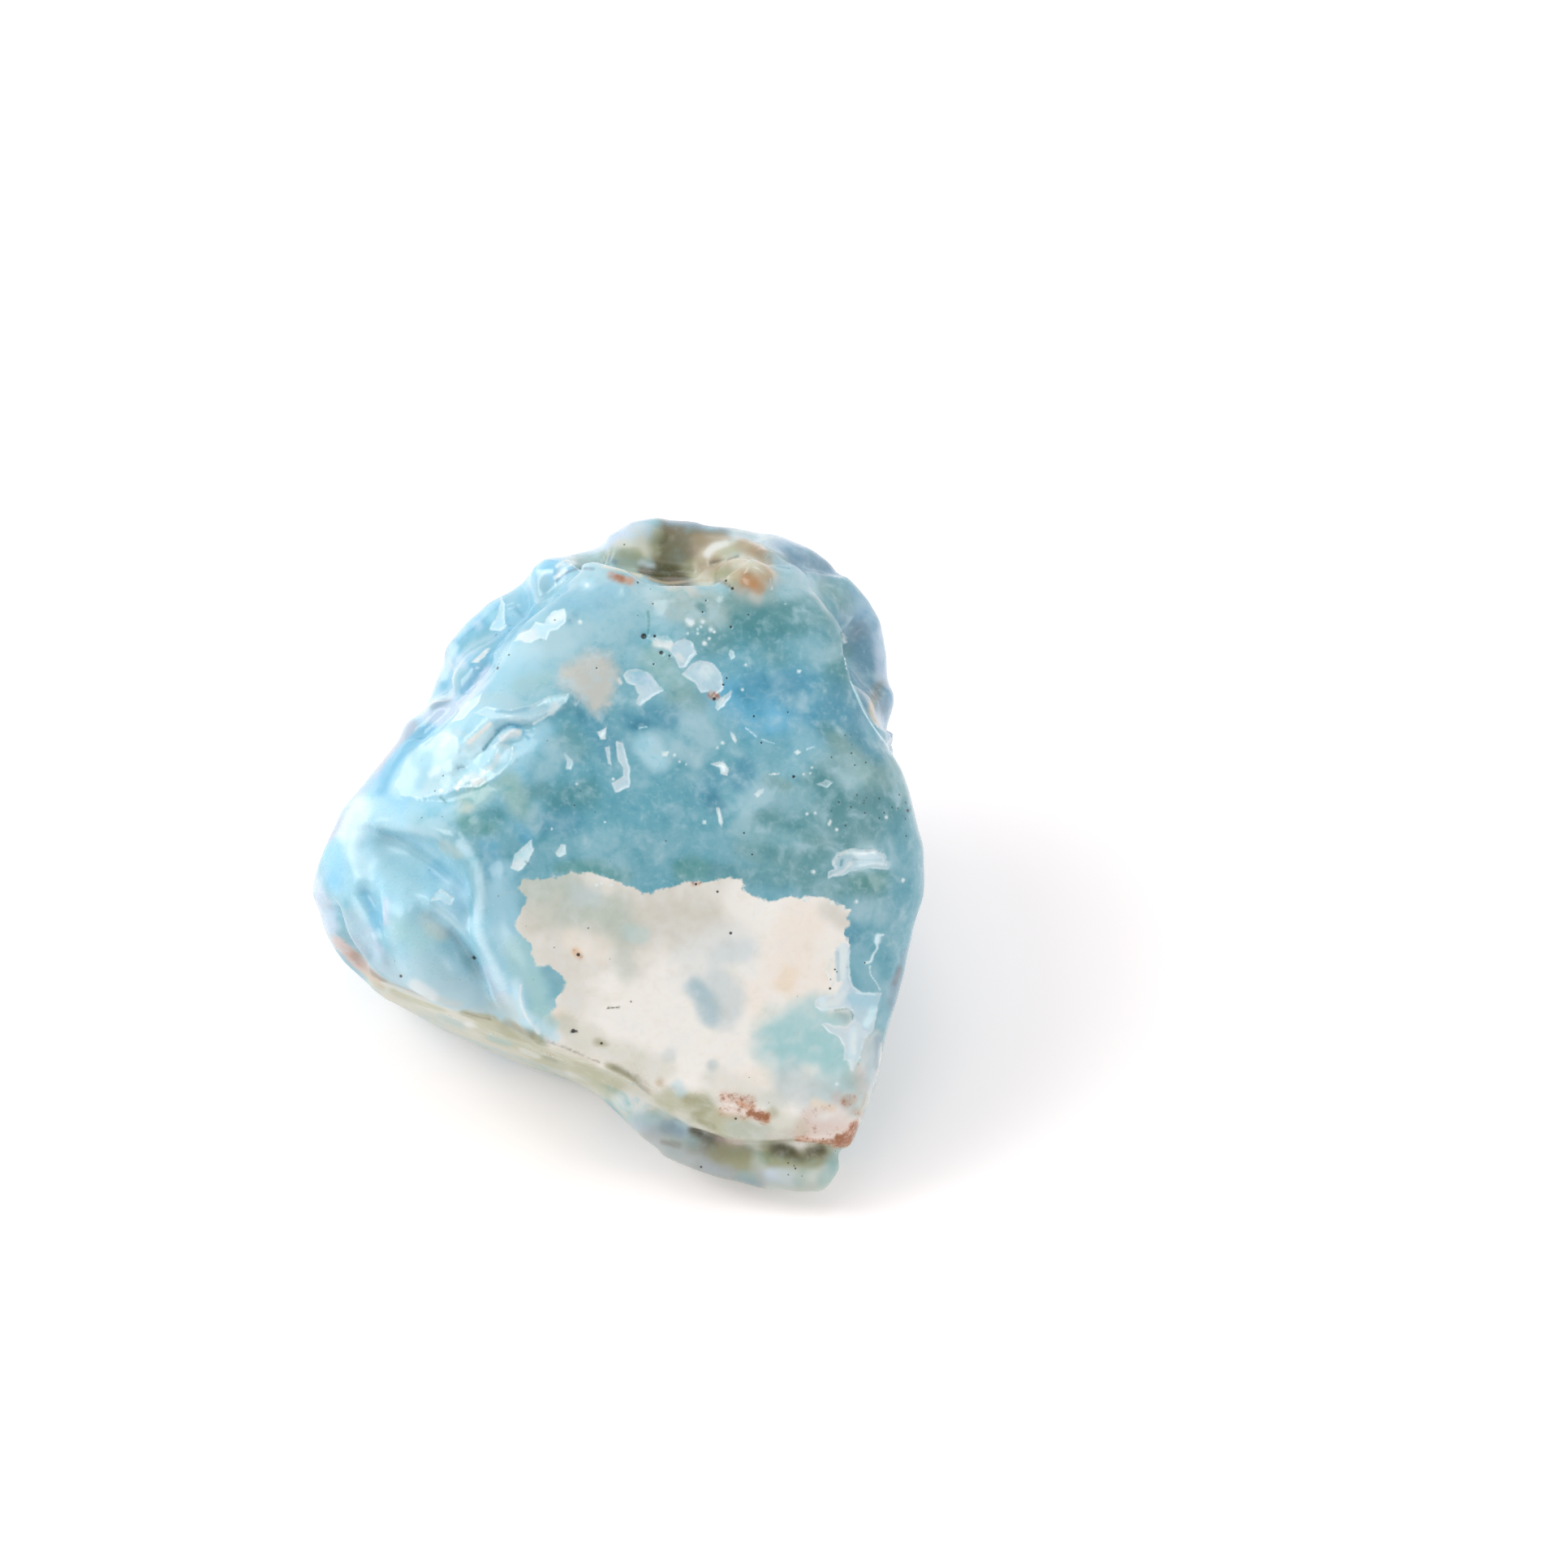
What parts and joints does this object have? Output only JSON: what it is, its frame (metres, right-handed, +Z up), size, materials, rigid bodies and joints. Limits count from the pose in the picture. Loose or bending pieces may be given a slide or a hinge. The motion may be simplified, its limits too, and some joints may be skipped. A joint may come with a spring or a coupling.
{
  "type": "raw larimar stone",
  "caption": "Solid nugget of raw larimar, tumbled glossy: wedge-shaped with a flat base, a bowl in its crown and a folded lobe on one side.",
  "frame": {"origin": "middle of the bounding box of the stone, at the height of the flat that it rests on", "axes": "+Z up from the flat base; -Y towards the front, where the main blue and cream face leans back at 50 degrees above the horizon; +X to the right of that face"},
  "size_m": [0.0376, 0.038, 0.0294],
  "materials": {
    "larimar": "tumble-polished, wet-looking gloss, blue with cream, olive and rust patches"
  },
  "bodies": {
    "root": {"larimar_stone": "larimar"}
  },
  "joints": []
}
